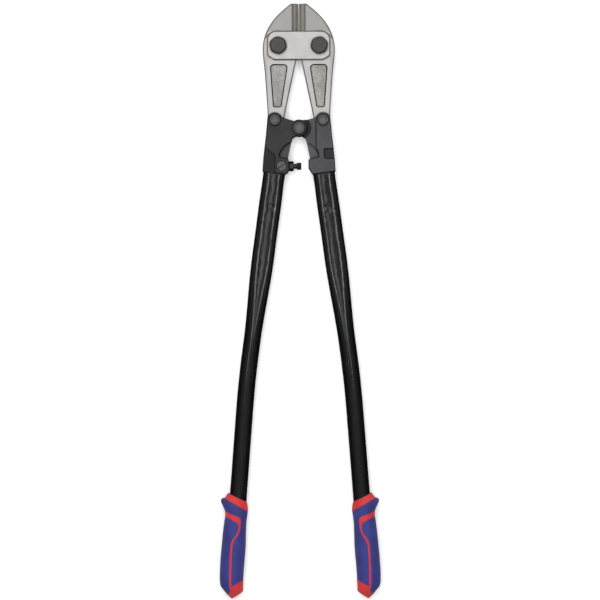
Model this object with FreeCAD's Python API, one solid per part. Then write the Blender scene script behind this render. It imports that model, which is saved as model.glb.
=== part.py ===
import FreeCAD, Part
import math
import os

os.makedirs("parts", exist_ok=True)

# Bolt cutters lying flat on their back, with the handles a little apart.
# +Z is up, +Y points to the jaws, and the origin is on the floor under the
# middle of the outline.  Each part is drawn about the mid-plane (z = 0) on
# the right-hand side and is lifted by MID_Z when it is written.

# ------------------------------------------------------------ driving sizes
LENGTH = 914.0                 # jaw tips to grip ends, the 36 inch class
TIP_Y = LENGTH / 2
MID_Z = 18.5                   # mid-plane above the floor
RUN = 0.05                     # radial running clearance of every pin

# the three pivots of the linkage
JAW_LINE_Y = TIP_Y - 64.3
JAW_PIVOT_X = 31.6
LINK_PIVOT = (37.1, TIP_Y - 178.6)
CENTRE_Y = TIP_Y - 191.1

# thicknesses, measured from the mid-plane
ARM_HALF = 7.0
BLADE_HALF = 9.5
PLATE_INNER = 7.15
PLATE_OUTER = 12.15
FORK_INNER = 7.3
FORK_OUTER = 12.8
TONGUE_HALF = 6.9
WEB_HALF = 5.0
SHOULDER_HALF = 11.0

# jaws
REST_OPENING = 0.2             # each blade stands this far from closed, in degrees
EDGE_CLEARANCE = 0.03          # what is left between the edges when closed
EDGE_LAND = 0.35               # half thickness of the cutting edge's flat
BEVEL_WIDTH = 10.7
HONED_WIDTH = 1.6              # of the steeper bevel along the cutting edge
HONED_RISE = 1.9               # how far that bevel rises from the edge's flat
BLADE_ROOT = 22.0              # where the thick blade ends above the jaw line
JAW_RELIEF = 9.2               # slope of the jaws' inner faces below the pivots
TAIL_RADIUS = 10.9
TAIL_NECK_RADIUS = 13.4        # where the tail's round end runs into the arm
BLADE_SWING = 22.8             # clear of the plate's corner as the jaw turns
POCKET_DEPTH = 1.6
POCKET_SLOPE = 1.7             # width of the forging's draft round a recess
ARM_BEVEL = 1.6
BLADE_BEVEL = 2.4

# fasteners
JAW_PIN_RADIUS = 7.0
JAW_BOLT_FLATS = 24.8
JAW_BOLT_CORNER = 9.0
JAW_BOLT_HEAD = 7.6
JAW_NUT_FLATS = 24.0
LINK_PIN_RADIUS = 5.0
CENTRE_PIN_RADIUS = 5.0
CENTRE_HOLE_RADIUS = 9.2       # in the tongue: wide, so that the linkage floats
LINK_HEAD_RADIUS = 8.6
CENTRE_HEAD_RADIUS = 9.6
LINK_HEAD = 4.6
LINK_NUT_FLATS = 16.0
LINK_HEAD_BEVEL = 1.1
BOLT_DISH_DEPTH = 0.5          # of the hollow in each round head
JAW_BOLT_TURN = 18.0           # where the first corner of the right bolt's head points
JAW_BOLT_BEVEL = 1.3
JAW_NUT_TURN = 7.0
JAW_WASHER_RADIUS = 14.0
STOP_RADIUS = 4.0
STOP_HEAD_FLATS = 10.7
STOP_HEAD_LEFT = -3.4          # the screw's head, from side to side
STOP_HEAD_RIGHT = 3.6
STOP_SHANK_LEFT = -37.0
STOP_NUT_FLATS = 13.4
STOP_NUT_RIGHT = -8.2
BARREL_RADIUS = 8.0
BARREL_PROUD = 0.6             # beyond each face of the left head
BARREL_SLOT = 1.6              # width and depth of its screwdriver slot
BARREL_SLOT_TURN = 35.0
WASHER_THICKNESS = 1.2
HEAD_BEVEL = 1.2
THROUGH = 20.0                 # more than half of any head's thickness

# handle tubes
UPPER_LEAN = 7.7               # of the tube's upper run from the Y axis, degrees
LOWER_LEAN = 4.35
TUBE_TOP = (38.1, CENTRE_Y - 68.8)
UPPER_RUN = 276.0
BEND_RADIUS = 1560.0
LOWER_RUN = 274.0
TUBE_DIAMETER = 26.2
TUBE_WALL = 2.2
TUBE_SECTIONS = 18
FLAT_WIDTH = 34.0
FLAT_HEIGHT = 17.5
FLAT_END = 134.0
ROUND_START = 258.0
TANG_LENGTH = 75.0
TANG_GAP = 0.6
PIN_STATION = 51.0
TUBE_PIN_RADIUS = 3.0
DIMPLE_RADIUS = 9.0            # of the dent pressed in over each end of the pin
DIMPLE_DEPTH = 1.6
SAG_RADIUS = 44.0              # of the wide, shallow dent round it and below it
SAG_DEPTH = 0.6
SAG_DROP = 4.5
FLAT_SQUARENESS = 2.9          # of the flattened section; a circle's is 2
ROUND_SQUARENESS = 2.0
GRIP_SQUARENESS = 2.25
OVAL_POINTS = 24

# grips, along the lower run of the tube
GRIP_LENGTH = 168.95
GRIP_TOP_Y = 169.0 - TIP_Y
GRIP_HALF_HEIGHT = MID_Z
COLLAR_SLANT = 28.0
COLLAR_TOP = 12.5              # where the slanted rim crosses the tube's axis
COLLAR_HEIGHT = 10.0
END_STATION = 149.0            # where the red end's two boundaries meet
END_OFFSET = 1.0
END_INNER_SLANT = -28.0
END_OUTER_SLANT = 82.0
# Sections down the grip: the distance below its top, how far it reaches from
# the tube's axis towards the other handle and away from it, and how far its
# front and back faces fall short of the full height.
GRIP_SECTIONS = (
    (0, -14.0, 14.0, 2.0), (8, -14.1, 21.0, 1.0), (14, -14.3, 27.0, 0.4),
    (24, -15.4, 23.6, 0.4), (33, -16.0, 19.8, 0.8), (55, -15.7, 19.2, 0.6),
    (85, -16.8, 20.1, 0.1), (115, -16.8, 20.3, 0.1), (140, -17.0, 19.2, 0.5),
    (152, -17.2, 15.0, 3.0), (160, -14.8, 8.8, 7.0), (GRIP_LENGTH, -5.8, 2.2, 14.0),
)


# ----------------------------------------------------------------- helpers
def vec(x, y, z=0.0):
    return FreeCAD.Vector(x, y, z)


def polar(centre, radius, degrees):
    """The point at a distance and a direction from a centre."""
    angle = math.radians(degrees)
    return (centre[0] + radius * math.cos(angle), centre[1] + radius * math.sin(angle))


def line(start, end):
    return Part.LineSegment(vec(*start), vec(*end)).toShape()


def arc(start, middle, end):
    return Part.Arc(vec(*start), vec(*middle), vec(*end)).toShape()


def curve_through(points):
    """A smooth curve through points, which ends straight down the Y axis."""
    curve = Part.BSplineCurve()
    places = [vec(*point) for point in points]
    first = places[1] - places[0]
    first.normalize()
    curve.interpolate(Points=places, InitialTangent=first, FinalTangent=vec(0, -1))
    return curve.toShape()


def rounded_outline(corners):
    """Closed wire through (x, y, radius) corners, with a tangent arc at each."""
    turns = []
    for index, (x, y, radius) in enumerate(corners):
        corner = vec(x, y)
        following = corners[(index + 1) % len(corners)]
        back = vec(*corners[index - 1][:2]) - corner
        ahead = vec(*following[:2]) - corner
        back.normalize()
        ahead.normalize()
        half_angle = back.getAngle(ahead) / 2
        reach = radius / math.tan(half_angle)
        inward = back + ahead
        inward.normalize()
        middle = corner + inward * (radius / math.sin(half_angle) - radius)
        turns.append((corner + back * reach, middle, corner + ahead * reach, radius))
    edges = []
    for index, (start, middle, end, radius) in enumerate(turns):
        previous_end = turns[index - 1][2]
        edges.append(Part.LineSegment(previous_end, start).toShape())
        if radius > 0:
            edges.append(Part.Arc(start, middle, end).toShape())
    return Part.Wire(edges)


def prism(wire, low, high):
    """The wire's area, filled from one height to another."""
    face = Part.Face(wire)
    face.translate(vec(0, 0, low))
    return face.extrude(vec(0, 0, high - low))


def bevelled_prism(wire, half, bevel):
    """A prism about the mid-plane, with a bevel round both of its faces."""
    core_half = half - bevel
    solid = prism(wire, -core_half, core_half)
    for side in (-1, 1):
        foot = wire.copy()
        foot.translate(vec(0, 0, side * core_half))
        rim = wire.makeOffset2D(-bevel, 1)
        rim.translate(vec(0, 0, side * half))
        solid = solid.fuse(Part.makeLoft([foot, rim], True, True))
    return solid.removeSplitter()


def recess(wire, face, depth, slope):
    """A sunk area in a face of that height, with walls that slope in by a width."""
    rim = wire.copy()
    rim.translate(vec(0, 0, face))
    floor = wire.makeOffset2D(-slope)
    floor.translate(vec(0, 0, face - depth))
    return Part.makeLoft([rim, floor], True, True)


def disc(centre, radius, low, high):
    """A cylinder along Z between two heights."""
    return Part.makeCylinder(radius, high - low, vec(centre[0], centre[1], low))


def chamfered_disc(centre, radius, low, high, bevel):
    """A cylinder along Z with a bevelled upper rim."""
    solid = disc(centre, radius, low, high)
    rim = [edge for edge in solid.Edges if edge.BoundBox.ZMin > high - 1e-6]
    return solid.makeChamfer(bevel, rim)


def rounded_hexagon(centre, across_flats, corner, low, high, first_angle, bevel):
    """A hexagonal prism along Z with rounded corners and a bevelled upper rim."""
    reach = across_flats / math.sqrt(3)
    corners = [polar(centre, reach, first_angle + 60 * side) + (corner,) for side in range(6)]
    solid = prism(rounded_outline(corners), low, high)
    rim = [edge for edge in solid.Edges if edge.BoundBox.ZMin > high - 1e-6]
    return solid.makeChamfer(bevel, rim)


def hexagon(centre, across_flats, low, high, first_angle=0.0):
    """A hexagonal prism along Z, its corners turned off as on a standard nut."""
    corner_radius = across_flats / math.sqrt(3)
    points = [vec(*polar(centre, corner_radius, first_angle + 60 * side)) for side in range(7)]
    solid = prism(Part.makePolygon(points), low, high)
    rounding = across_flats * 0.035
    outer = corner_radius + 0.2
    cone_low = Part.makeCone(corner_radius - rounding, outer, (high - low) / 2,
                             vec(centre[0], centre[1], low))
    cone_high = Part.makeCone(outer, corner_radius - rounding, (high - low) / 2,
                              vec(centre[0], centre[1], (low + high) / 2))
    return solid.common(cone_low.fuse(cone_high))


def mirrored(shape):
    return shape.mirror(vec(0, 0, 0), vec(1, 0, 0))


def turned(shape, centre, degrees):
    shape.rotate(vec(*centre), vec(0, 0, 1), degrees)
    return shape


def write(name, shape):
    """Lift a finished part from the mid-plane to the floor frame and store it."""
    shape = shape.copy()
    shape.translate(vec(0, 0, MID_Z))
    shape.exportStep(os.path.join("parts", name + ".step"))


def write_pair(name, shape):
    write("right_" + name, shape)
    write("left_" + name, mirrored(shape))


# --------------------------------------------------------------- side plates
def side_plate():
    """The front plate: it ties the two jaw pivots together."""
    wire = rounded_outline([
        (-47.6, 21.4, 13), (-47.6, -15.4, 4), (-37.4, -21.6, 4),
        (37.4, -21.6, 4), (47.6, -15.4, 4), (47.6, 21.4, 13),
    ])
    plate = prism(wire, PLATE_INNER, PLATE_OUTER)
    rim = [edge for edge in plate.Edges if edge.BoundBox.ZMin > PLATE_OUTER - 1e-6]
    plate = plate.makeChamfer(0.9, rim)
    for side in (-1, 1):
        pivot = (side * JAW_PIVOT_X, 0)
        plate = plate.cut(disc(pivot, JAW_PIN_RADIUS + RUN, 0, PLATE_OUTER + 1))
    plate.translate(vec(0, JAW_LINE_Y, 0))
    return plate


# ---------------------------------------------------------------------- jaws
def jaw_outline():
    """The right jaw seen from the front, drawn about the jaw line and closed."""
    tail = (LINK_PIVOT[0], LINK_PIVOT[1] - JAW_LINE_Y)
    tip_y = TIP_Y - JAW_LINE_Y
    relief = math.tan(math.radians(JAW_RELIEF))
    relief_end = (0.3 + 20.9 * relief, -20.9)
    inner_low = polar(tail, TAIL_NECK_RADIUS, 191.9)
    return Part.Wire([
        line((0, 0), (0, tip_y)),
        line((0, tip_y), (12.25, tip_y)),
        curve_through([(12.25, tip_y), (28.6, 50.5), (43.9, 32.1), (52.3, 13.8), (55.3, -4),
                       (53.2, -30), (50.4, -65), (48.2, -98), (tail[0] + TAIL_RADIUS, tail[1])]),
        arc((tail[0] + TAIL_RADIUS, tail[1]), polar(tail, TAIL_RADIUS, -45),
            polar(tail, TAIL_RADIUS, -90)),
        arc(polar(tail, TAIL_RADIUS, -90), polar(tail, 12.3, -129), inner_low),
        line(inner_low, relief_end),
        line(relief_end, (0.3, 0)),
        line((0.3, 0), (0, 0)),
    ])


def blade_area():
    """Where the jaw is thicker: above the plate and clear of it as the jaw turns."""
    pivot = (JAW_PIVOT_X, 0)
    shelf = 12.0
    inner = (JAW_PIVOT_X - math.sqrt(BLADE_SWING ** 2 - BLADE_ROOT ** 2), BLADE_ROOT)
    outer = (JAW_PIVOT_X + math.sqrt(BLADE_SWING ** 2 - shelf ** 2), shelf)
    return Part.Wire([
        line((-1, BLADE_ROOT), inner),
        arc(inner, polar(pivot, BLADE_SWING, 80), outer),
        line(outer, (70, shelf)),
        line((70, shelf), (70, 80)),
        line((70, 80), (-1, 80)),
        line((-1, 80), (-1, BLADE_ROOT)),
    ])


def bevel_cutters():
    """What is ground off each face: a wide bevel, and a honed one at the edge."""
    foot = BLADE_ROOT - 0.4
    beyond = 2 * BLADE_HALF
    cutters = []
    for side in (-1, 1):
        honed = side * (EDGE_LAND + HONED_RISE)
        profile = ((0, side * EDGE_LAND), (HONED_WIDTH, honed), (BEVEL_WIDTH, side * BLADE_HALF),
                   (BEVEL_WIDTH, side * beyond), (-2, side * beyond), (-2, side * EDGE_LAND),
                   (0, side * EDGE_LAND))
        wedge = Part.makePolygon([vec(x, foot, z) for x, z in profile])
        cutters.append(Part.Face(wedge).extrude(vec(0, 80, 0)))
    return cutters


def arm_pockets():
    """The shallow rounded recess in both faces of the jaw's arm."""
    wire = rounded_outline([
        (16.2, -28.3, 6), (44.6, -28.3, 6), (39.8, -95.0, 3.8), (26.8, -95.0, 3.8),
    ])
    front = recess(wire, ARM_HALF, POCKET_DEPTH, POCKET_SLOPE)
    return [front, front.mirror(vec(0, 0, 0), vec(0, 0, 1))]


def back_rims(solid, half):
    """The curved rims of a jaw, down its back and round its tail."""
    rims = []
    for edge in solid.Edges:
        box = edge.BoundBox
        on_face = box.ZLength < 1e-6 and abs(abs(box.ZMin) - half) < 1e-6
        if on_face and edge.Curve.TypeId != "Part::GeomLine":
            rims.append(edge)
    return rims


def jaw():
    """The right jaw: blade, bored eye, and a long arm down to the link pivot."""
    outline = jaw_outline()
    arm = prism(outline, -ARM_HALF, ARM_HALF)
    arm = arm.makeChamfer(ARM_BEVEL, back_rims(arm, ARM_HALF))
    blade = prism(outline, -BLADE_HALF, BLADE_HALF)
    blade = blade.makeChamfer(BLADE_BEVEL, back_rims(blade, BLADE_HALF))
    blade = blade.common(prism(blade_area(), -BLADE_HALF, BLADE_HALF))
    solid = arm.fuse(blade)
    solid = solid.cut(bevel_cutters() + arm_pockets())
    tail = (LINK_PIVOT[0], LINK_PIVOT[1] - JAW_LINE_Y)
    holes = [
        disc((JAW_PIVOT_X, 0), JAW_PIN_RADIUS + RUN, -BLADE_HALF, BLADE_HALF),
        disc(tail, LINK_PIN_RADIUS + RUN, -BLADE_HALF, BLADE_HALF),
    ]
    solid = solid.cut(holes)
    edge_gap = Part.makeBox(1 + EDGE_CLEARANCE, 200, 40, vec(-1, -100, -20))
    solid = solid.cut(turned(edge_gap, (JAW_PIVOT_X, 0), -REST_OPENING))
    solid.translate(vec(0, JAW_LINE_Y, 0))
    return solid


# --------------------------------------------------------------- jaw fasteners
def jaw_bolt():
    """Hexagonal head on the front plate, and a plain shank to the rear nut."""
    centre = (JAW_PIVOT_X, JAW_LINE_Y)
    head = rounded_hexagon(centre, JAW_BOLT_FLATS, JAW_BOLT_CORNER, PLATE_OUTER,
                           PLATE_OUTER + JAW_BOLT_HEAD, JAW_BOLT_TURN, JAW_BOLT_BEVEL)
    shank = disc(centre, JAW_PIN_RADIUS, 0.3 - MID_Z, PLATE_OUTER)
    return head.fuse(shank)


def jaw_washer():
    centre = (JAW_PIVOT_X, JAW_LINE_Y)
    low = -PLATE_OUTER - WASHER_THICKNESS
    washer = disc(centre, JAW_WASHER_RADIUS, low, -PLATE_OUTER)
    return washer.cut(disc(centre, JAW_PIN_RADIUS + RUN, low, -PLATE_OUTER))


def jaw_nut():
    centre = (JAW_PIVOT_X, JAW_LINE_Y)
    high = -PLATE_OUTER - WASHER_THICKNESS
    nut = hexagon(centre, JAW_NUT_FLATS, -MID_Z, high, JAW_NUT_TURN)
    return nut.cut(disc(centre, JAW_PIN_RADIUS + RUN, -MID_Z, high))


# -------------------------------------------------------------- handle heads
# The heads are drawn about the centre pivot, the left one as its mirror image.
LINK = (LINK_PIVOT[0], LINK_PIVOT[1] - CENTRE_Y)
AXIS = (TUBE_TOP[0], TUBE_TOP[1] - CENTRE_Y)
LUG_RADIUS = 11.5
KNUCKLE_RADIUS = 13.0
LUG_END_ANGLE = 160.0          # where the lug's round ends, towards the centre
TONGUE_RADIUS = 12.2
RECESS_RADIUS = 18.8
FOOT_INNER = (20.9, -71.0)
FOOT_OUTER = (56.1, -66.3)
STOP_CENTRE = (26.8, -58.2)
STOP_FACE = 15.0
EYE_ROOM = 14.4                # radius kept free round the jaw's tail
KNUCKLE_ROOM = 17.0            # radius kept free round the tongue
TANG_START = -6.0              # the tang begins this far inside the head
TANG_TAPER = 1.5               # how much its last 3 mm draw in
TANG_TAPER_LENGTH = 3.0
FLAT_SUNK = 1.0                # depth of the left head's sunk flat
FLAT_SLOPE = 1.2
MARK_SUNK = 2.4                # depth of the right head's square recess
MARK_SLOPE = 1.4
BITE_START = (9.5, -15.2)      # where the raised cheek begins below the knuckle


def outer_side(lug_end_angle):
    """From the foot's outer corner up the outer edge and over the link lug."""
    lug_start = (LINK[0] + LUG_RADIUS, LINK[1])
    return [
        line(FOOT_OUTER, (54.8, -46)),
        line((54.8, -46), (50.6, -9.5)),
        line((50.6, -9.5), lug_start),
        arc(lug_start, polar(LINK, LUG_RADIUS, 80), polar(LINK, LUG_RADIUS, lug_end_angle)),
    ]


def knuckle_side():
    """From the link lug round the knuckle at the centre pivot."""
    knuckle_start = polar((0, 0), KNUCKLE_RADIUS, 56)
    knuckle_end = polar((0, 0), KNUCKLE_RADIUS, 290)
    return [
        line(polar(LINK, LUG_RADIUS, LUG_END_ANGLE), knuckle_start),
        arc(knuckle_start, (-KNUCKLE_RADIUS, 0), knuckle_end),
        line(knuckle_end, BITE_START),
    ]


def web_edge(start):
    """The thin inner edge between the pivot and the foot block."""
    return [
        line(start, (12.0, -22.0)),
        line((12.0, -22.0), (17.0, -46.8)),
    ]


def bite_foot():
    """The lower end of the raised cheek's curved edge, in to the foot block."""
    return [
        line((30.2, -42.5), (29.6, -44.6)),
        line((29.6, -44.6), (17.0, -46.8)),
    ]


def bite_edge(start):
    """The raised cheek's curved edge, which leaves the thin web bare."""
    return [
        line(start, (12.0, -22.0)),
        arc((12.0, -22.0), (24.0, -29.8), (30.2, -42.5)),
    ] + bite_foot()


def stop_foot():
    """The left head's foot, with a rounded boss that carries the stop."""
    return [
        line((17.0, -46.8), (STOP_FACE, -51.5)),
        line((STOP_FACE, -51.5), (STOP_FACE, -63.5)),
        arc((STOP_FACE, -63.5), (17.4, -68.5), FOOT_INNER),
        line(FOOT_INNER, FOOT_OUTER),
    ]


def block_foot():
    """The right head's foot: a square block that meets the stop."""
    return [
        line((17.0, -46.8), (14.5, -48.6)),
        line((14.5, -48.6), (14.5, -61.4)),
        line((14.5, -61.4), FOOT_INNER),
        line(FOOT_INNER, FOOT_OUTER),
    ]


def jaw_slot():
    """Room between the cheeks for the jaw's tail and the swing of its arm."""
    inner = polar(LINK, EYE_ROOM, 195)
    outer = polar(LINK, EYE_ROOM, -51)
    inner_far = polar(inner, 60, 105)
    outer_far = polar(outer, 60, 39)
    middle_far = polar(LINK, 70, 72)
    swing = Part.makePolygon([vec(*point) for point in
                              (LINK, inner, inner_far, middle_far, outer_far, outer, LINK)])
    eye = disc(LINK, EYE_ROOM, -FORK_INNER, FORK_INNER)
    return eye.fuse(prism(swing, -FORK_INNER, FORK_INNER))


def tang():
    """The bar below the foot that fills the top of the handle tube."""
    inset = TUBE_WALL + TANG_GAP
    wires = [
        tube_section(TANG_START, inset),
        tube_section(TANG_LENGTH - TANG_TAPER_LENGTH, inset),
        tube_section(TANG_LENGTH, inset + TANG_TAPER),
    ]
    bar = Part.makeLoft(wires, True, True)
    bar.translate(vec(0, -CENTRE_Y, 0))
    pin = tube_point(PIN_STATION)
    hole = disc((pin.x, pin.y - CENTRE_Y), TUBE_PIN_RADIUS + RUN, -MID_Z, MID_Z)
    return bar.cut(hole)


def left_head():
    """The forked head: its cheeks hold the other head's tongue at the centre."""
    rest = outer_side(LUG_END_ANGLE) + knuckle_side()
    cheeks = bevelled_prism(Part.Wire(rest + bite_edge(BITE_START) + stop_foot()),
                            FORK_OUTER, HEAD_BEVEL)
    web = prism(Part.Wire(rest + web_edge(BITE_START) + stop_foot()), -WEB_HALF, WEB_HALF)
    sunk = rounded_outline([
        (64.0, -18.7, 3), (36.2, -41.6, 3), (36.6, -80.0, 3), (64.0, -80.0, 3),
    ])
    flat = recess(sunk, FORK_OUTER, FLAT_SUNK, FLAT_SLOPE)
    cheeks = cheeks.cut([flat, flat.mirror(vec(0, 0, 0), vec(0, 0, 1))])
    solid = cheeks.fuse(web)
    tongue_room = disc((0, 0), KNUCKLE_ROOM, -FORK_INNER, FORK_INNER)
    solid = solid.cut([jaw_slot(), tongue_room])
    solid = solid.fuse(tang())
    screw_hole = Part.makeCylinder(STOP_RADIUS + RUN, 28, vec(13, STOP_CENTRE[1], 0), vec(1, 0, 0))
    solid = solid.cut([
        disc(LINK, LINK_PIN_RADIUS + RUN, -THROUGH, THROUGH),
        disc((0, 0), CENTRE_PIN_RADIUS + RUN, -THROUGH, THROUGH),
        disc(STOP_CENTRE, BARREL_RADIUS + RUN, -THROUGH, THROUGH),
        screw_hole,
    ])
    solid = mirrored(solid)
    solid.translate(vec(0, CENTRE_Y, 0))
    return solid


def tongue():
    """The right head's flat tongue, which turns between the left head's cheeks."""
    neck = Part.makePolygon([vec(*point) for point in (
        (0, 0), (0, TONGUE_RADIUS), (15, 13), (21, 11), (21, -12), (10.2, -16),
        (3, -TONGUE_RADIUS + 0.4), (0, 0))])
    neck = prism(neck, -TONGUE_HALF, TONGUE_HALF)
    return neck.fuse(disc((0, 0), TONGUE_RADIUS, -TONGUE_HALF, TONGUE_HALF))


def recess_side():
    """The shoulder's edge: a hollow that the left head's knuckle turns in."""
    start = polar((0, 0), RECESS_RADIUS, 42.6)
    end = polar((0, 0), RECESS_RADIUS, -57)
    return [
        line(polar(LINK, LUG_RADIUS, LUG_END_ANGLE), start),
        arc(start, (RECESS_RADIUS, 0), end),
    ]


def right_head():
    """The solid head, with a stepped cheek, a tongue and a square foot."""
    start = polar((0, 0), RECESS_RADIUS, -57)
    step_x = LINK[0] - LUG_RADIUS
    step = [
        line((step_x, LINK[1]), (step_x, -31.4)),
        arc((step_x, -31.4), (28.6, -36.5), (30.2, -42.5)),
    ]
    cheek_wire = Part.Wire(outer_side(180) + step + bite_foot() + block_foot())
    cheeks = bevelled_prism(cheek_wire, FORK_OUTER, HEAD_BEVEL)
    rest = outer_side(LUG_END_ANGLE) + recess_side()
    shoulder_wire = Part.Wire(rest + bite_edge(start) + block_foot())
    shoulder = prism(shoulder_wire, -SHOULDER_HALF, SHOULDER_HALF)
    web = prism(Part.Wire(rest + web_edge(start) + block_foot()), -WEB_HALF, WEB_HALF)
    solid = cheeks.fuse([shoulder, web, tongue()])
    mark = rounded_outline([
        (37.2, -31.0, 3), (60, -31.0, 3), (60, -47.6, 3), (38.4, -47.6, 3),
    ])
    solid = solid.cut([jaw_slot(), recess(mark, FORK_OUTER, MARK_SUNK, MARK_SLOPE)])
    solid = solid.fuse(tang())
    solid = solid.cut([
        disc(LINK, LINK_PIN_RADIUS + RUN, -THROUGH, THROUGH),
        disc((0, 0), CENTRE_HOLE_RADIUS, -THROUGH, THROUGH),
    ])
    solid.translate(vec(0, CENTRE_Y, 0))
    return solid


# --------------------------------------------------------- linkage fasteners
def round_bolt(centre, pin_radius, head_radius):
    """A round-headed pivot bolt with a shallow dished face."""
    top = FORK_OUTER + LINK_HEAD
    head = chamfered_disc(centre, head_radius, FORK_OUTER, top, LINK_HEAD_BEVEL)
    dish = Part.makeCone(head_radius * 0.62, head_radius * 0.70, BOLT_DISH_DEPTH,
                         vec(centre[0], centre[1], top - BOLT_DISH_DEPTH))
    shank = disc(centre, pin_radius, -MID_Z + 0.4, FORK_OUTER)
    return head.cut(dish).fuse(shank)


def pivot_nut(centre, pin_radius, first_angle):
    nut = hexagon(centre, LINK_NUT_FLATS, 0.2 - MID_Z, -FORK_OUTER, first_angle)
    return nut.cut(disc(centre, pin_radius + RUN, -MID_Z, -FORK_OUTER))


def stop_screw():
    """The stop's screw: a hexagonal head that faces the right foot block."""
    y = CENTRE_Y + STOP_CENTRE[1]
    head = hexagon((0, 0), STOP_HEAD_FLATS, STOP_HEAD_LEFT, STOP_HEAD_RIGHT)
    shank = disc((0, 0), STOP_RADIUS, STOP_SHANK_LEFT, STOP_HEAD_LEFT)
    screw = head.fuse(shank)
    screw.rotate(vec(0, 0, 0), vec(0, 1, 0), 90)
    screw.translate(vec(0, y, 0))
    return screw


def stop_lock_nut():
    """The nut on the stop screw, tight against the face of the left foot."""
    y = CENTRE_Y + STOP_CENTRE[1]
    nut = hexagon((0, 0), STOP_NUT_FLATS, -STOP_FACE, STOP_NUT_RIGHT, 30)
    nut = nut.cut(disc((0, 0), STOP_RADIUS + RUN, -STOP_FACE, STOP_NUT_RIGHT))
    nut.rotate(vec(0, 0, 0), vec(0, 1, 0), 90)
    nut.translate(vec(0, y, 0))
    return nut


def stop_barrel_nut():
    """A turned barrel across the left foot, cross-drilled for the stop screw."""
    centre = (-STOP_CENTRE[0], CENTRE_Y + STOP_CENTRE[1])
    half = FORK_OUTER + BARREL_PROUD
    barrel = disc(centre, BARREL_RADIUS, -half, half)
    rims = [edge for edge in barrel.Edges if edge.BoundBox.ZLength < 1e-6]
    barrel = barrel.makeChamfer(0.8, rims)
    slot = Part.makeBox(20, BARREL_SLOT, BARREL_SLOT, vec(-10, -BARREL_SLOT / 2, half - BARREL_SLOT))
    slot.rotate(vec(0, 0, 0), vec(0, 0, 1), BARREL_SLOT_TURN)
    slot.translate(vec(centre[0], centre[1], 0))
    cross = Part.makeCylinder(STOP_RADIUS + RUN, 30, vec(centre[0] - 15, centre[1]), vec(1, 0, 0))
    return barrel.cut([slot, cross])


# -------------------------------------------------------------- handle tubes
def tube_frame(station):
    """Centre and direction of the right tube at a distance below its top."""
    upper = math.radians(UPPER_LEAN)
    lower = math.radians(LOWER_LEAN)
    bend_length = BEND_RADIUS * (upper - lower)
    centre = vec(TUBE_TOP[0], TUBE_TOP[1])
    along = min(station, UPPER_RUN)
    centre += vec(math.sin(upper), -math.cos(upper)) * along
    lean = upper
    if station > UPPER_RUN:
        turned_by = min(station - UPPER_RUN, bend_length) / BEND_RADIUS
        lean = upper - turned_by
        swing = vec(math.cos(lean) - math.cos(upper), math.sin(lean) - math.sin(upper))
        centre += swing * BEND_RADIUS
    if station > UPPER_RUN + bend_length:
        rest = station - UPPER_RUN - bend_length
        centre += vec(math.sin(lower), -math.cos(lower)) * rest
    return centre, lean


def tube_point(station):
    return tube_frame(station)[0]


def oval(centre, lean, inner, outer, half_height, squareness):
    """Closed smooth curve across the handle: a superellipse that spans inner to outer."""
    across = vec(math.cos(lean), math.sin(lean))
    middle = centre + across * ((outer + inner) / 2)
    half_width = (outer - inner) / 2
    points = []
    for step in range(OVAL_POINTS):
        angle = 2 * math.pi * step / OVAL_POINTS
        cosine = math.cos(angle)
        sine = math.sin(angle)
        x = math.copysign(abs(cosine) ** (2 / squareness), cosine) * half_width
        z = math.copysign(abs(sine) ** (2 / squareness), sine) * half_height
        points.append(middle + across * x + vec(0, 0, z))
    curve = Part.BSplineCurve()
    curve.interpolate(Points=points, PeriodicFlag=True)
    return Part.Wire(curve.toShape())


def tube_section(station, inset):
    """The tube's outline at a station: flattened at the top and round further down."""
    centre, lean = tube_frame(station)
    blend = min(max((station - FLAT_END) / (ROUND_START - FLAT_END), 0), 1)
    blend = blend * blend * (3 - 2 * blend)
    half_width = (FLAT_WIDTH + (TUBE_DIAMETER - FLAT_WIDTH) * blend) / 2 - inset
    half_height = (FLAT_HEIGHT + (TUBE_DIAMETER - FLAT_HEIGHT) * blend) / 2 - inset
    squareness = FLAT_SQUARENESS + (ROUND_SQUARENESS - FLAT_SQUARENESS) * blend
    return oval(centre, lean, -half_width, half_width, half_height, squareness)


def tube_length():
    bend_length = BEND_RADIUS * math.radians(UPPER_LEAN - LOWER_LEAN)
    return UPPER_RUN + bend_length + LOWER_RUN


def tube():
    """The handle tube, bored along its length and dimpled over its pin."""
    end = tube_length()
    stations = [end * step / TUBE_SECTIONS for step in range(TUBE_SECTIONS + 1)]
    outside = Part.makeLoft([tube_section(place, 0) for place in stations], True, False)
    stations[0] = -0.5
    stations[-1] = end + 0.5
    inside = Part.makeLoft([tube_section(place, TUBE_WALL) for place in stations], True, False)
    shell = outside.cut(inside)
    pin = tube_point(PIN_STATION)
    hole = disc((pin.x, pin.y), TUBE_PIN_RADIUS + RUN, -MID_Z, MID_Z)
    dents = []
    for radius, depth, station in ((DIMPLE_RADIUS, DIMPLE_DEPTH, PIN_STATION),
                                   (SAG_RADIUS, SAG_DEPTH, PIN_STATION + SAG_DROP)):
        place = tube_point(station)
        height = FLAT_HEIGHT / 2 + radius - depth
        for side in (-1, 1):
            dents.append(Part.makeSphere(radius, vec(place.x, place.y, side * height)))
    return shell.cut(dents + [hole])


def tube_pin():
    """The pin through the tube and the tang, a little proud of the dents."""
    pin = tube_point(PIN_STATION)
    half = FLAT_HEIGHT / 2 - DIMPLE_DEPTH + 0.3
    return disc((pin.x, pin.y), TUBE_PIN_RADIUS, -half, half)


# --------------------------------------------------------------------- grips
def grip_start():
    """The station along the tube where the grip's highest point would be."""
    lower_start = tube_length() - LOWER_RUN
    drop = tube_point(lower_start).y - GRIP_TOP_Y
    return lower_start + drop / math.cos(math.radians(LOWER_LEAN))


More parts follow.
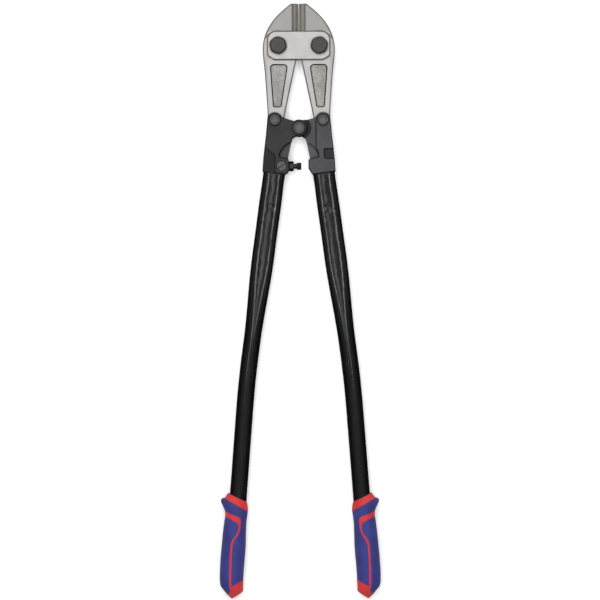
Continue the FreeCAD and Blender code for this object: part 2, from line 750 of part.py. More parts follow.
def grip_solid(start):
    """The whole grip before it is parted: a flared top, a full body, a blunt point."""
    wires = []
    for along, inner, outer, shortfall in GRIP_SECTIONS:
        centre, lean = tube_frame(start + along)
        half_height = GRIP_HALF_HEIGHT - shortfall
        wires.append(oval(centre, lean, inner, outer, half_height, GRIP_SQUARENESS))
    return Part.makeLoft(wires, True, False)


def half_space(point, degrees, side):
    """A large box above (1) or below (-1) a slanted line across the handle."""
    box = Part.makeBox(300, 150, 80, vec(-150, 0 if side > 0 else -150, -40))
    box.rotate(vec(0, 0, 0), vec(0, 0, 1), degrees)
    box.translate(vec(point[0], point[1], 0))
    return box


def grip_parts():
    """The moulded grip as its blue body, its red collar and its red end."""
    start = grip_start()
    whole = grip_solid(start)
    bore_stations = (start - 5, start + 70, tube_length() + 0.3)
    bore = Part.makeLoft([tube_section(place, -RUN) for place in bore_stations], True, False)
    whole = whole.cut(bore)
    rim_centre = tube_point(start + COLLAR_TOP)
    rim = (rim_centre.x, rim_centre.y)
    whole = whole.cut(half_space(rim, COLLAR_SLANT, 1))
    foot = half_space(polar(rim, COLLAR_HEIGHT, COLLAR_SLANT - 90), COLLAR_SLANT, 1)
    collar = whole.common(foot)
    body = whole.cut(foot)
    corner_centre = tube_point(start + END_STATION)
    corner = (corner_centre.x - END_OFFSET, corner_centre.y)
    wedge = half_space(corner, END_INNER_SLANT, -1).common(half_space(corner, END_OUTER_SLANT, 1))
    tip = body.common(wedge)
    body = body.cut(wedge)
    return body, collar, tip


# ------------------------------------------------------------------ assembly
front_plate = side_plate()
write("front_plate", front_plate)
write("rear_plate", front_plate.mirror(vec(0, 0, 0), vec(0, 0, 1)))

write_pair("jaw", jaw())
write_pair("jaw_bolt", jaw_bolt())
write_pair("jaw_washer", jaw_washer())
write_pair("jaw_nut", jaw_nut())

write("left_handle_head", left_head())
write("right_handle_head", right_head())
write_pair("link_bolt", round_bolt(LINK_PIVOT, LINK_PIN_RADIUS, LINK_HEAD_RADIUS))
write_pair("link_nut", pivot_nut(LINK_PIVOT, LINK_PIN_RADIUS, 12))
write("centre_bolt", round_bolt((0, CENTRE_Y), CENTRE_PIN_RADIUS, CENTRE_HEAD_RADIUS))
write("centre_nut", pivot_nut((0, CENTRE_Y), CENTRE_PIN_RADIUS, 0))

write("stop_screw", stop_screw())
write("stop_lock_nut", stop_lock_nut())
write("stop_barrel_nut", stop_barrel_nut())

write_pair("tube", tube())
write_pair("tube_pin", tube_pin())

grip_body, grip_collar, grip_tip = grip_parts()
write_pair("grip", grip_body)
write_pair("grip_collar", grip_collar)
write_pair("grip_tip", grip_tip)
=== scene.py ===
import math

import bmesh
import bpy
from mathutils import Matrix, Vector


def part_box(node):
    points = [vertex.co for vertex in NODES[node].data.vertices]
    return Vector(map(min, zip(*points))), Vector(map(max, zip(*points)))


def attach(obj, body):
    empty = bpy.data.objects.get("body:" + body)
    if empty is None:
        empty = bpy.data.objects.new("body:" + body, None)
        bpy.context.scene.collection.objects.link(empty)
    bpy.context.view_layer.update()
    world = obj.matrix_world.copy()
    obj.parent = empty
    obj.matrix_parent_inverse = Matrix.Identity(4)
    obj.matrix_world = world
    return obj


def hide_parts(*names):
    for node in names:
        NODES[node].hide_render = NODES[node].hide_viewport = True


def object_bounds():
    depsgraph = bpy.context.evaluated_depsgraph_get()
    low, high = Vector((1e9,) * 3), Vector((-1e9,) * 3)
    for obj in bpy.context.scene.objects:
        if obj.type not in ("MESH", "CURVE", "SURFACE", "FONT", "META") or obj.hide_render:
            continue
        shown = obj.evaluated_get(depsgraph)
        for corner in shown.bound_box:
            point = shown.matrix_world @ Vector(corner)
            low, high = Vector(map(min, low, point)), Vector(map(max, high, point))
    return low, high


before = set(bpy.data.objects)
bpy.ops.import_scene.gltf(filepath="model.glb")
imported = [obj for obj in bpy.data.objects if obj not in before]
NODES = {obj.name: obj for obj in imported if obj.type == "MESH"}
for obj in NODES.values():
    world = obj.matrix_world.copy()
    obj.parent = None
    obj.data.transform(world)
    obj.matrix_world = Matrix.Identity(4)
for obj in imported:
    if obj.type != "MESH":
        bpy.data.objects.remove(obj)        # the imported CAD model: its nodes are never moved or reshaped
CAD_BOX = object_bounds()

MM = 0.001
MID_Z = 18.5 * MM                       # the tool's mid-plane above the floor
SIDES = (("left", -1), ("right", 1))    # and the sign of X on that side

# The straight lower run of each handle, which the grip is moulded round.
TUBE_RADIUS = 13.1 * MM
HANDLE_LEAN = math.radians(4.35)
GRIP_LENGTH = 169.0 * MM

# The camera looks straight down, with the jaws at the top of the picture.
CAMERA_DISTANCE = 5.0                   # above the mid-plane
PICTURE_WIDTH = 921.6 * MM              # what the picture spans at the mid-plane
CAMERA_AIM = (0.9 * MM, 2.3 * MM)       # X and Y of the picture's middle
CAMERA_ROLL = math.radians(-0.16)


# ------------------------------------------------------------------ shaders
# Places of the mix node's sockets, whose names repeat: two inputs and an output each.
COLOUR_A = 6
COLOUR_B = 7
COLOUR_MIXED = 2
VALUE_A = 2
VALUE_B = 3
VALUE_MIXED = 0

NOISE_ROUGHNESS = 0.55
BEVEL_SAMPLES = 4
CREVICE_SAMPLES = 6


class Shader:
    """Builds one node material around a Principled shader."""

    def __init__(self, name, **sockets):
        self.material = bpy.data.materials.new(name)
        self.material.use_nodes = True
        self.tree = self.material.node_tree
        self.surface = self.tree.nodes["Principled BSDF"]
        for socket, value in sockets.items():
            self.surface.inputs[socket.replace("_", " ")].default_value = value

    def node(self, kind, **settings):
        made = self.tree.nodes.new("ShaderNode" + kind)
        for key, value in settings.items():
            setattr(made, key, value)
        return made

    def link(self, source, target):
        self.tree.links.new(source, target)

    def set(self, socket, value):
        """Give an input a constant, or link an output to it."""
        if isinstance(value, bpy.types.NodeSocket):
            self.link(value, socket)
        else:
            socket.default_value = value

    def place(self, stretch=(1, 1, 1)):
        """The piece's own coordinates, in metres, stretched along each axis."""
        source = self.node("TexCoord").outputs["Object"]
        mapping = self.node("Mapping")
        mapping.inputs["Scale"].default_value = stretch
        self.link(source, mapping.inputs["Vector"])
        return mapping.outputs["Vector"]

    def axis(self, name, letter):
        """One component of the piece's own position or normal."""
        parts = self.node("SeparateXYZ")
        self.link(self.node("TexCoord").outputs[name], parts.inputs[0])
        return parts.outputs[letter]

    def noise(self, scale, detail=4.0, stretch=(1, 1, 1)):
        made = self.node("TexNoise")
        made.inputs["Scale"].default_value = scale
        made.inputs["Detail"].default_value = detail
        made.inputs["Roughness"].default_value = NOISE_ROUGHNESS
        self.link(self.place(stretch), made.inputs["Vector"])
        return made.outputs["Fac"]

    def cells(self, scale):
        made = self.node("TexVoronoi")
        made.inputs["Scale"].default_value = scale
        self.link(self.place(), made.inputs["Vector"])
        return made.outputs["Distance"]

    def maths(self, operation, first, second=0.0):
        made = self.node("Math", operation=operation)
        self.set(made.inputs[0], first)
        self.set(made.inputs[1], second)
        return made.outputs[0]

    def both(self, first, second):
        """1 only where both masks are 1: their product."""
        return self.maths("MULTIPLY", first, second)

    def remap(self, value, low, high, out_low=0.0, out_high=1.0):
        """A smooth step from one range to another."""
        made = self.node("MapRange", interpolation_type="SMOOTHSTEP")
        self.link(value, made.inputs["Value"])
        made.inputs["From Min"].default_value = low
        made.inputs["From Max"].default_value = high
        made.inputs["To Min"].default_value = out_low
        made.inputs["To Max"].default_value = out_high
        return made.outputs["Result"]

    def blend(self, factor, first, second):
        """Mix two colours, each a tuple or an output."""
        made = self.node("Mix", data_type="RGBA")
        self.set(made.inputs["Factor"], factor)
        self.set(made.inputs[COLOUR_A], first + (1,) if isinstance(first, tuple) else first)
        self.set(made.inputs[COLOUR_B], second + (1,) if isinstance(second, tuple) else second)
        return made.outputs[COLOUR_MIXED]

    def blend_value(self, factor, first, second):
        made = self.node("Mix", data_type="FLOAT")
        self.set(made.inputs["Factor"], factor)
        self.set(made.inputs[VALUE_A], first)
        self.set(made.inputs[VALUE_B], second)
        return made.outputs[VALUE_MIXED]

    def edges(self, radius, low, high):
        """1 along sharp edges and 0 on flat faces: where paint wears first."""
        rounded = self.node("Bevel", samples=BEVEL_SAMPLES)
        rounded.inputs["Radius"].default_value = radius
        dot = self.node("VectorMath", operation="DOT_PRODUCT")
        self.link(rounded.outputs["Normal"], dot.inputs[0])
        self.link(self.node("NewGeometry").outputs["Normal"], dot.inputs[1])
        bend = self.maths("SUBTRACT", 1.0, dot.outputs["Value"])
        return self.remap(bend, low, high)

    def crevice(self, distance, low=0.55, high=0.98):
        """1 deep in a corner and 0 in the open: where painted shade goes, as light is lost there."""
        made = self.node("AmbientOcclusion", samples=CREVICE_SAMPLES)
        made.inputs["Distance"].default_value = distance
        return self.remap(made.outputs["AO"], high, low)

    def sloping(self, flat=0.97, steep=0.90):
        """1 on bevels and walls, and 0 on the faces that lie square to the mid-plane."""
        return self.remap(self.maths("ABSOLUTE", self.axis("Normal", "Z")), flat, steep)

    def level(self, height, middle, spread=0.15 * MM):
        """1 on surfaces near one height, and 0 elsewhere."""
        above = self.remap(height, middle - 2 * spread, middle - spread)
        below = self.remap(height, middle + 2 * spread, middle + spread)
        return self.both(above, below)

    def bump(self, *layers, soften=None):
        """Stack (height, distance in metres) layers into the surface's normal."""
        normal = None
        if soften:
            rounded = self.node("Bevel", samples=BEVEL_SAMPLES)
            rounded.inputs["Radius"].default_value = soften
            normal = rounded.outputs["Normal"]
        for height, distance in layers:
            made = self.node("Bump")
            made.inputs["Strength"].default_value = 1.0
            made.inputs["Distance"].default_value = distance
            self.link(height, made.inputs["Height"])
            if normal:
                self.link(normal, made.inputs["Normal"])
            normal = made.outputs["Normal"]
        self.link(normal, self.surface.inputs["Normal"])

    def finish(self, colour, roughness=None, metallic=None):
        self.link(colour, self.surface.inputs["Base Color"])
        if roughness is not None:
            self.link(roughness, self.surface.inputs["Roughness"])
        if metallic is not None:
            self.link(metallic, self.surface.inputs["Metallic"])
        return self.material


# Places on the jaws: along Y, or across from the tool's middle.
BLADE_START = 412 * MM                  # along: the thick blade begins
HONED_EDGE = 1.65 * MM                  # across: the honed strip ends
BEVEL_EDGE = 10.9 * MM                  # across: the ground bevel ends
ARM_PAINTED_SHADE = (43 * MM, 52 * MM)          # across: painted shade darkens the arms towards their outer edge
POCKET_START = 296 * MM                 # along
POCKET_END = 366 * MM                   # along
POCKET_OUTER = 46.2 * MM                # across
POCKET_INNER = 78.5 * MM                # across + POCKET_LEAN x along
POCKET_LEAN = 0.186
ARM_FACE = 6.8 * MM                     # height of the arm's face over the mid-plane

# Colours of the jaws. A pair is blended by a cloudy noise.
PLATING = ((0.37, 0.362, 0.356), (0.43, 0.421, 0.415))
# Painted shade along the arms' outer edge.
PLATING_OUTER_PAINTED_SHADE = (0.31, 0.303, 0.298)
PLATING_BLADE = (0.25, 0.242, 0.232)
PLATING_SPECK = (0.30, 0.29, 0.28)
# Painted shade on bevels and walls, standing in for their dark reflections.
PLATING_SLOPE_PAINTED_SHADE = (0.30, 0.293, 0.285)
# Painted shade: the pocket's walls near black.
POCKET_WALL_PAINTED_SHADE = (0.012, 0.012, 0.011)
BLASTED = ((0.28, 0.275, 0.26), (0.44, 0.43, 0.41))
BLASTED_SMUDGE = (0.21, 0.205, 0.19)
# Painted shade in crevices, such as the line under the plates' edge.
JAW_CREVICE_PAINTED_SHADE = (0.02, 0.02, 0.019)
BEVEL_INNER = (0.16, 0.15, 0.133)
BEVEL_MIDDLE = (0.44, 0.425, 0.395)
BEVEL_OUTER = (0.27, 0.255, 0.23)
GRINDING_STREAK = (0.46, 0.44, 0.41)
HONED = (0.34, 0.33, 0.31)


def jaw_steel():
    """Satin plating over a blasted forging, with dark ground bevels and rougher pockets, and painted shade
    on its walls, slopes, outer arm edges and corners.
    """
    s = Shader("jaw_steel", Metallic=0.75)
    cloud = s.noise(28, 3)
    grain = s.noise(1500, 2)
    speck = s.noise(420, 3)
    across = s.maths("ABSOLUTE", s.axis("Object", "X"))
    along = s.axis("Object", "Y")
    height = s.maths("ABSOLUTE", s.maths("SUBTRACT", s.axis("Object", "Z"), MID_Z))
    leaning = s.maths("ADD", across, s.maths("MULTIPLY", along, POCKET_LEAN))
    sloping = s.sloping()

    blade = s.remap(along, BLADE_START, BLADE_START + 4 * MM)
    ground = s.both(s.remap(across, BEVEL_EDGE + 0.1 * MM, BEVEL_EDGE - 0.1 * MM), sloping)
    ground = s.both(ground, s.remap(along, BLADE_START, BLADE_START + 2 * MM))
    pocket = s.both(s.remap(along, POCKET_START, POCKET_START + 1 * MM),
                    s.remap(along, POCKET_END, POCKET_END - 1 * MM))
    pocket = s.both(pocket, s.remap(across, POCKET_OUTER + 0.3 * MM, POCKET_OUTER - 0.2 * MM))
    pocket = s.both(pocket, s.remap(leaning, POCKET_INNER - 0.5 * MM, POCKET_INNER + 0.5 * MM))
    pocket = s.both(pocket, s.remap(height, ARM_FACE + 0.1 * MM, ARM_FACE - 0.1 * MM))
    shaded_pocket_wall = s.both(pocket, sloping)
    pocket_floor = s.both(pocket, s.maths("SUBTRACT", 1.0, sloping))

    plating = s.blend(s.remap(cloud, 0.35, 0.7), *PLATING)
    # painted shade: the arms darken towards their outer edge
    plating = s.blend(s.remap(across, *ARM_PAINTED_SHADE, 0, 0.7), plating, PLATING_OUTER_PAINTED_SHADE)
    plating = s.blend(s.both(blade, 0.9), plating, PLATING_BLADE)
    plating = s.blend(s.remap(speck, 0.62, 0.75, 0, 0.35), plating, PLATING_SPECK)
    # painted shade: bevels and walls darker
    plating = s.blend(sloping, plating, PLATING_SLOPE_PAINTED_SHADE)
    # painted shade on the pocket's walls
    plating = s.blend(shaded_pocket_wall, plating, POCKET_WALL_PAINTED_SHADE)
    blasted = s.blend(s.remap(s.noise(420, 3), 0.35, 0.65), *BLASTED)
    blasted = s.blend(s.both(s.remap(s.noise(70, 2), 0.42, 0.62), 0.45), blasted, BLASTED_SMUDGE)
    plating = s.blend(pocket_floor, plating, blasted)
    # painted shade in corners and under the plates
    plating = s.blend(s.both(s.crevice(3 * MM, 0.45, 0.98), 0.75), plating, JAW_CREVICE_PAINTED_SHADE)

    grinding = s.noise(60, 3, (1, 40, 1))
    bare = s.blend(s.remap(across, 2.2 * MM, 6.0 * MM), BEVEL_INNER, BEVEL_MIDDLE)
    bare = s.blend(s.remap(across, 7.4 * MM, 9.6 * MM), bare, BEVEL_OUTER)
    bare = s.blend(s.remap(grinding, 0.4, 0.7, 0, 0.4), bare, GRINDING_STREAK)
    honed = s.remap(across, HONED_EDGE + 0.1 * MM, HONED_EDGE - 0.1 * MM)
    bare = s.blend(honed, bare, HONED)
    colour = s.blend(ground, plating, bare)

    satin = s.remap(cloud, 0.3, 0.7, 0.36, 0.46)
    rough = s.blend_value(ground, satin, s.remap(grinding, 0.3, 0.7, 0.30, 0.45))
    rough = s.blend_value(pocket_floor, rough, 0.6)
    s.bump((grain, 0.02 * MM), (s.both(grinding, ground), 0.03 * MM),
           (s.both(s.noise(600, 3), pocket_floor), 0.06 * MM), soften=0.4 * MM)
    metal = s.blend_value(s.both(honed, ground), 0.75, 0.35)
    return s.finish(colour, rough, metal)


def plate_steel():
    """A flat satin plate, tumbled, with painted shade on its sheared rims and in its corners."""
    s = Shader("plate_steel", Metallic=0.7)
    cloud = s.noise(40, 3)
    fine = s.noise(900, 2, (1, 0.25, 1))
    base = s.blend(s.remap(cloud, 0.35, 0.7), (0.375, 0.364, 0.36), (0.435, 0.423, 0.418))
    base = s.blend(s.remap(s.noise(300, 3), 0.64, 0.76, 0, 0.3), base, (0.30, 0.29, 0.285))
    # painted shade: the bevelled rims darker
    base = s.blend(s.sloping(), base, (0.22, 0.214, 0.208))
    # painted shade in corners and under edges
    colour = s.blend(s.both(s.crevice(3 * MM), 0.7), base, (0.05, 0.048, 0.046))
    s.bump((fine, 0.012 * MM), soften=0.3 * MM)
    return s.finish(colour, s.remap(cloud, 0.3, 0.7, 0.36, 0.46))


def bolt_finish(name, dark, light, painted_rim_shade):
    """Blackened bolt steel with a fine grain, and painted shade on its bevelled rim and in its corners."""
    s = Shader(name, Metallic=0.4)
    cloud = s.noise(180, 4)
    base = s.blend(s.remap(cloud, 0.35, 0.7), dark, light)
    # painted shade on the bevelled rim
    base = s.blend(s.sloping(), base, painted_rim_shade)
    # painted shade in corners
    colour = s.blend(s.both(s.crevice(2.5 * MM), 0.8), base, (0.006, 0.006, 0.006))
    s.bump((s.noise(900, 2), 0.03 * MM), soften=0.4 * MM)
    return s.finish(colour, s.remap(cloud, 0.3, 0.7, 0.42, 0.58))


# Heights of the heads' faces over the mid-plane.
WEB_FACE = 5.0 * MM
TONGUE_FACE = 6.9 * MM
LEFT_FLAT_FACE = 11.8 * MM              # the flat sunk into the left head
RIGHT_MARK_FACE = 10.4 * MM             # the square sunk into the right head

# Painted shade on the sunk flat and on bevels and walls.
HEAD_PAINTED_SHADE = (0.003, 0.003, 0.003)
# Deeper painted shade in crevices and on the tongue under the other head.
HEAD_DEEP_PAINTED_SHADE = (0.0015, 0.0015, 0.0015)
CHIPPED = (0.10, 0.10, 0.10)            # primer and steel showing at worn corners


def head_paint(name, dark, light, web_tone, sunk_height):
    """Black paint on a forging, with painted shade on its bevels, hollows and tongue, and worn corners.

    web_tone is the colour of the thin web, and sunk_height is how far from the
    mid-plane the head's sunk flat lies, which gets painted shade too.
    """
    s = Shader(name, Specular_IOR_Level=0.3)
    cloud = s.noise(45, 4)
    height = s.maths("ABSOLUTE", s.maths("SUBTRACT", s.axis("Object", "Z"), MID_Z))
    base = s.blend(s.remap(cloud, 0.3, 0.7), dark, light)
    web = s.remap(height, WEB_FACE + 0.4 * MM, WEB_FACE + 0.1 * MM)
    base = s.blend(web, base, web_tone)
    sunk = s.level(height, sunk_height)
    # painted shade on the sunk flat
    base = s.blend(s.both(sunk, 0.85), base, HEAD_PAINTED_SHADE)
    # painted shade on bevels and walls
    base = s.blend(s.sloping(0.95, 0.85), base, HEAD_PAINTED_SHADE)
    # painted shade in crevices, less on the web, and over the tongue's face
    deep_shade = s.both(s.crevice(4 * MM, 0.4, 0.9), s.blend_value(web, 1.0, 0.6))
    deep_shade = s.maths("MAXIMUM", deep_shade, s.level(height, TONGUE_FACE))
    base = s.blend(deep_shade, base, HEAD_DEEP_PAINTED_SHADE)
    chips = s.both(s.edges(0.6 * MM, 0.05, 0.35), s.remap(s.noise(240, 4), 0.5, 0.6))
    colour = s.blend(s.both(chips, 0.6), base, CHIPPED)
    s.bump((s.cells(520), 0.02 * MM), (s.noise(90, 3), 0.10 * MM), soften=0.6 * MM)
    return s.finish(colour, s.remap(cloud, 0.3, 0.7, 0.36, 0.50))


def tube_enamel():
    """Glossy black enamel with a faint orange peel, hairline scuffs along the tube, and painted shade in its
    corners and joints.
    """
    s = Shader("tube_enamel", Specular_IOR_Level=0.6)
    cloud = s.noise(30, 3)
    scuffs = s.remap(s.noise(500, 3, (1, 0.03, 1)), 0.60, 0.72)
    base = s.blend(cloud, (0.0018, 0.0018, 0.0021), (0.0036, 0.0036, 0.0042))
    colour = s.blend(s.both(scuffs, 0.18), base, (0.03, 0.03, 0.033))
    # painted shade in corners and joints, such as where the tube enters the head
    joint = s.crevice(4 * MM, 0.5, 0.95)
    colour = s.blend(joint, colour, (0.001, 0.001, 0.001))
    rough = s.blend_value(scuffs, s.remap(cloud, 0.3, 0.7, 0.12, 0.17), 0.30)
    rough = s.blend_value(joint, rough, 0.6)
    s.bump((s.cells(420), 0.006 * MM), (s.noise(60, 2), 0.04 * MM))
    return s.finish(colour, rough)


def moulded(name, dark, light, grain_depth):
    """Soft-touch moulded grip: a fine spark-eroded grain with cloudy colour and polish."""
    s = Shader(name, Specular_IOR_Level=0.3, Sheen_Weight=0.08, Sheen_Roughness=0.5)
    cloud = s.noise(35, 4)
    colour = s.blend(s.remap(cloud, 0.3, 0.7), dark, light)
    s.bump((s.cells(1300), grain_depth), (s.noise(300, 3), 0.04 * MM))
    return s.finish(colour, s.remap(cloud, 0.3, 0.7, 0.46, 0.60))


def dress_cad_nodes():
    """Give every CAD node that stays visible its finished material."""
    jaws = jaw_steel()
    plates = plate_steel()
    oxide = bolt_finish("black_oxide", (0.034, 0.032, 0.028), (0.056, 0.053, 0.046),
                        (0.010, 0.010, 0.009))
    hardware = bolt_finish("dark_hardware", (0.060, 0.059, 0.062), (0.10, 0.098, 0.102),
                           (0.008, 0.008, 0.008))
    stop = bolt_finish("stop_hardware", (0.018, 0.018, 0.018), (0.040, 0.040, 0.042),
                       (0.006, 0.006, 0.006))
    enamel = tube_enamel()
    finishes = {
        "front_plate": plates, "rear_plate": plates,
        "centre_bolt": hardware, "centre_nut": hardware,
        "stop_screw": stop, "stop_lock_nut": stop, "stop_barrel_nut": hardware,
        "left_handle_head": head_paint("left_head_paint", (0.010, 0.010, 0.010), (0.018, 0.018, 0.018),
                                       (0.034, 0.034, 0.034), LEFT_FLAT_FACE),
        "right_handle_head": head_paint("right_head_paint", (0.034, 0.033, 0.036), (0.046, 0.045, 0.049),
                                        (0.054, 0.053, 0.056), RIGHT_MARK_FACE),
    }
    for side, _ in SIDES:
        finishes[side + "_jaw"] = jaws
        finishes[side + "_tube"] = enamel
        for part in ("jaw_bolt", "jaw_washer", "jaw_nut"):
            finishes[f"{side}_{part}"] = oxide
        finishes[side + "_tube_pin"] = enamel
        for part in ("link_bolt", "link_nut"):
            finishes[f"{side}_{part}"] = hardware
    for name, material in finishes.items():
        mesh = NODES[name].data
        mesh.materials.clear()
        mesh.materials.append(material)


# -------------------------------------------------------------------- grips
# Stations down the grip, in mm: along, inner edge, outer edge, half height.
# Across the grip, 0 is the tube's axis and + is away from the other handle.
GRIP_STATIONS = (
    (4, -13.4, 14.6, 14.6), (12, -13.6, 19.5, 15.6), (18, -13.9, 26.4, 17.0),
    (25, -15.3, 23.7, 17.8), (32, -16.3, 19.8, 17.5), (39, -15.9, 18.0, 16.9),
    (50, -15.4, 18.7, 17.0), (65, -15.9, 19.5, 17.8), (88, -17.0, 20.1, 18.4),
    (112, -16.8, 20.3, 18.4), (137, -16.9, 19.4, 18.0), (149.5, -17.3, 17.2, 16.6),
    (155.4, -17.4, 12.2, 14.0), (161.5, -11.0, 6.3, 9.0), (167.6, -2.6, -0.8, 1.6),
)
SQUARENESS = 2.25                       # of the grip's sections; an ellipse's is 2
AROUND = 96
TURNS = [2 * math.pi * step / AROUND for step in range(AROUND)]
SETTLING = 4                            # rounds that place a leaning ring
SHARP_ANGLE = math.radians(38)
MERGE_DISTANCE = 1e-6

# The collar, in distances down the grip: it leans up towards the outer side.
COLLAR_SLOPE = 0.40
COLLAR_TOP = 12.6 * MM
COLLAR_FOOT = 24.6 * MM
COLLAR_FOOT_SLOPE = 0.50
MOUTH_GAP = 0.15 * MM                   # between the collar's mouth and the tube
MOUTH_DEPTHS = (6.0 * MM, 0.8 * MM)
LIP_WIDTH = 0.7 * MM
RIM_RADIUS = 1.4 * MM
RIM_STEPS = 5
BAND_STEPS = 14
BAND_PROUD = 0.25 * MM
BAND_END = 0.5 * MM                     # short of the collar's foot
FOOT_OUTSETS = (-0.1 * MM, -2.0 * MM)

# The moulding: its first rings, as drop below the collar's foot and outset.
SEAM = ((0, -2.0 * MM), (0.1 * MM, -0.6 * MM), (0.7 * MM, 0))
MOULDING_STEPS = 110
LEAN_ENDS = 60 * MM                     # where its rings lie square across it again


def station_values(along):
    """Inner edge, outer edge and half height at a distance down the grip, in metres."""
    along = min(max(along / MM, GRIP_STATIONS[0][0]), GRIP_STATIONS[-1][0])
    index = 0
    while index < len(GRIP_STATIONS) - 2 and along > GRIP_STATIONS[index + 1][0]:
        index += 1
    before = GRIP_STATIONS[max(index - 1, 0)]
    start = GRIP_STATIONS[index]
    end = GRIP_STATIONS[index + 1]
    after = GRIP_STATIONS[min(index + 2, len(GRIP_STATIONS) - 1)]
    span = end[0] - start[0]
    t = (along - start[0]) / span
    values = []
    for column in (1, 2, 3):
        slope_in = (end[column] - before[column]) / (end[0] - before[0]) * span
        slope_out = (after[column] - start[column]) / (after[0] - start[0]) * span
        value = ((2 * t ** 3 - 3 * t ** 2 + 1) * start[column] + (t ** 3 - 2 * t ** 2 + t) * slope_in
                 + (3 * t ** 2 - 2 * t ** 3) * end[column] + (t ** 3 - t ** 2) * slope_out)
        values.append(value * MM)
    return values


class Grip:
    """One handle's grip surface, in the handle's own directions.

    It is worked out on the right-hand side, and sign mirrors it to the left.
    """

    def __init__(self, side, sign):
        self.side = side
        self.sign = sign
        low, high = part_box(side + "_tube")
        end_x = high.x if sign > 0 else -low.x
        end = Vector((end_x - TUBE_RADIUS * math.cos(HANDLE_LEAN),
                      low.y + TUBE_RADIUS * math.sin(HANDLE_LEAN), MID_Z))
        self.down = Vector((math.sin(HANDLE_LEAN), -math.cos(HANDLE_LEAN), 0))
        self.across = Vector((math.cos(HANDLE_LEAN), math.sin(HANDLE_LEAN), 0))
        foot = CAD_BOX[0].y
        reach = (end.y - foot) / math.cos(HANDLE_LEAN)
        self.top = end + self.down * (reach - GRIP_LENGTH)

    def world(self, along, across, height):
        point = self.top + self.down * along + self.across * across
        point.z += height
        return Vector((point.x * self.sign, point.y, point.z))

    def section(self, along, angle, outset=0.0):
        """Across and height of the surface at an angle: 0 is the outer edge, 90 degrees the front."""
        inner, outer, half_height = station_values(along)
        middle = (inner + outer) / 2
        half_width = (outer - inner) / 2 + outset
        half_height += outset
        cosine = math.cos(angle)
        sine = math.sin(angle)
        across = middle + math.copysign(abs(cosine) ** (2 / SQUARENESS), cosine) * half_width
        height = math.copysign(abs(sine) ** (2 / SQUARENESS), sine) * half_height
        return across, height

    def point(self, along, angle, outset=0.0):
        across, height = self.section(along, angle, outset)
        return self.world(along, across, height)

    def ring(self, level, slope, outset=0.0):
        """A ring of the surface that leans across the grip."""
        points = []
        for angle in TURNS:
            along = level
            for _ in range(SETTLING):
                across, height = self.section(along, angle, outset)
                along = level - slope * across
            points.append(self.world(along, across, height))
        return points

    def tube_ring(self, level, radius):
        """A ring round the tube that leans as the collar's top does."""
        points = []
        for angle in TURNS:
            across = radius * math.cos(angle)
            points.append(self.world(level - COLLAR_SLOPE * across, across, radius * math.sin(angle)))
        return points

    def angle_at(self, along, across):
        """The front-half angle whose surface point lies at a given place across."""
        inner, outer, _ = station_values(along)
        half_width = (outer - inner) / 2
        place = (across - (inner + outer) / 2) / half_width
        place = min(max(place, -0.999), 1.0)
        cosine = math.copysign(abs(place) ** (SQUARENESS / 2), place)
        return math.acos(min(max(cosine, -1), 1))


def build(name, rings, body, material, closed=True, capped=False):
    """A mesh piece from rings of points, riding on a CAD body.

    closed joins each ring's ends, and capped closes the last ring with a face.
    """
    mesh = bmesh.new()
    rows = [[mesh.verts.new(point) for point in ring] for ring in rings]
    count = len(rows[0])
    for upper, lower in zip(rows, rows[1:]):
        for index in range(count if closed else count - 1):
            following = (index + 1) % count
            mesh.faces.new((upper[index], upper[following], lower[following], lower[index]))
    if capped:
        mesh.faces.new(reversed(rows[-1]))
    bmesh.ops.remove_doubles(mesh, verts=mesh.verts, dist=MERGE_DISTANCE)
    bmesh.ops.recalc_face_normals(mesh, faces=mesh.faces)
    for face in mesh.faces:
        face.smooth = True
    data = bpy.data.meshes.new(name)
    mesh.to_mesh(data)
    mesh.free()
    data.set_sharp_from_angle(angle=SHARP_ANGLE)
    data.materials.append(material)
    piece = bpy.data.objects.new(name, data)
    bpy.context.scene.collection.objects.link(piece)
    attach(piece, body)
    return piece


def grip_collar(grip, material):
    """The red rim: a rounded band whose mouth closes down on the tube."""
    mouth = TUBE_RADIUS + MOUTH_GAP
    rings = [grip.tube_ring(COLLAR_TOP + depth, mouth) for depth in MOUTH_DEPTHS]
    rings.append(grip.tube_ring(COLLAR_TOP, mouth + LIP_WIDTH))
    for step in range(RIM_STEPS, -1, -1):
        turn = math.pi / 2 * step / RIM_STEPS
        level = COLLAR_TOP + RIM_RADIUS * (1 - math.sin(turn))
        rings.append(grip.ring(level, COLLAR_SLOPE, -RIM_RADIUS * (1 - math.cos(turn))))
    band_top = COLLAR_TOP + RIM_RADIUS
    for step in range(1, BAND_STEPS + 1):
        share = step / BAND_STEPS
        level = band_top + (COLLAR_FOOT - BAND_END - band_top) * share
        slope = COLLAR_SLOPE + (COLLAR_FOOT_SLOPE - COLLAR_SLOPE) * share
        rings.append(grip.ring(level, slope, BAND_PROUD))
    for outset in FOOT_OUTSETS:
        rings.append(grip.ring(COLLAR_FOOT, COLLAR_FOOT_SLOPE, outset))
    piece = build(grip.side + "_grip_rim", rings, grip.side + "_handle", material)
    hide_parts(grip.side + "_grip_collar")


def grip_body(grip, material):
    """The blue moulding, from under the collar to the blunt pointed end."""
    rings = [grip.ring(COLLAR_FOOT + drop, COLLAR_FOOT_SLOPE, outset) for drop, outset in SEAM]
    start = COLLAR_FOOT + SEAM[-1][0]
    end = GRIP_STATIONS[-1][0] * MM
    for step in range(1, MOULDING_STEPS + 1):
        level = start + (end - start) * step / MOULDING_STEPS
        slope = COLLAR_FOOT_SLOPE * max(0.0, (LEAN_ENDS - level) / (LEAN_ENDS - COLLAR_FOOT))
        rings.append(grip.ring(level, slope))
    piece = build(grip.side + "_grip_moulding", rings, grip.side + "_handle", material,
                  capped=True)
    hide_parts(grip.side + "_grip")


